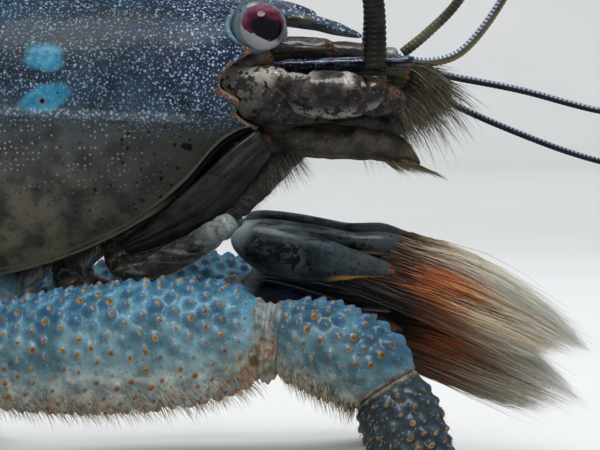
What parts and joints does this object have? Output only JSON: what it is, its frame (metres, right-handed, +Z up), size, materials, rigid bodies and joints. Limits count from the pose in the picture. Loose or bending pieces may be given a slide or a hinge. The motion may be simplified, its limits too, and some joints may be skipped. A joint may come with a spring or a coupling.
{
  "type": "fan shrimp model",
  "caption": "Life-size standing freshwater shrimp with a domed shell, studded front legs, brush-tipped claws, long feelers and a drooping tail with its fan on the floor.",
  "frame": {"origin": "middle of the outer box, on the floor that the feet and the tail fan rest on", "axes": "+X towards the head, +Y to the animal's left, +Z up"},
  "size_m": [0.126, 0.0604, 0.0594],
  "materials": {
    "shell": "smooth, slightly translucent carapace, slate blue with pale dots",
    "leg": "blue to grey-blue, studded with amber-tipped tubercles",
    "limb": "brown-grey, mottled with black and orange",
    "feeler": "dark, ringed with pale beads",
    "brush": "silky bristles, dark at the root, orange, then cream",
    "eye": "glossy, dark red",
    "paddle": "thin and translucent grey-blue"
  },
  "bodies": {
    "root": {"abdomen_1": "shell", "abdomen_2": "shell", "abdomen_3": "shell", "abdomen_4": "shell", "abdomen_5": "shell", "abdomen_6": "shell", "antenna_left_feeler_root": "feeler", "antenna_left_feeler_tip": "feeler", "antenna_left_scale": "limb", "antenna_left_stalk": "limb", "antenna_right_feeler_root": "feeler", "antenna_right_feeler_tip": "feeler", "antenna_right_scale": "limb", "antenna_right_stalk": "limb", "antennule_left": "limb", "antennule_left_inner_feeler": "feeler", "antennule_left_outer_feeler": "feeler", "antennule_right": "limb", "antennule_right_inner_feeler": "feeler", "antennule_right_outer_feeler": "feeler", "carapace": "shell", "eye_left": "eye", "eye_right": "eye", "fan_leg_1_left_arm": "limb", "fan_leg_1_left_claw": "brush", "fan_leg_1_right_arm": "limb", "fan_leg_1_right_claw": "brush", "fan_leg_2_left_arm": "limb", "fan_leg_2_left_claw": "brush", "fan_leg_2_right_arm": "limb", "fan_leg_2_right_claw": "brush", "head": "limb", "leg_3_left_carpus": "leg", "leg_3_left_merus": "leg", "leg_3_left_propodus": "leg", "leg_3_right_carpus": "leg", "leg_3_right_merus": "leg", "leg_3_right_propodus": "leg", "leg_4_left": "leg", "leg_4_right": "leg", "leg_5_left": "leg", "leg_5_right": "leg", "maxilliped_left": "limb", "maxilliped_right": "limb", "mouth": "limb", "rostrum": "shell", "swimmeret_1_left": "paddle", "swimmeret_1_right": "paddle", "swimmeret_2_left": "paddle", "swimmeret_2_right": "paddle", "swimmeret_3_left": "paddle", "swimmeret_3_right": "paddle", "swimmeret_4_left": "paddle", "swimmeret_4_right": "paddle", "swimmeret_5_left": "paddle", "swimmeret_5_right": "paddle", "tail_fan_left": "shell", "tail_fan_right": "shell", "telson": "shell", "thorax": "limb"}
  },
  "joints": []
}
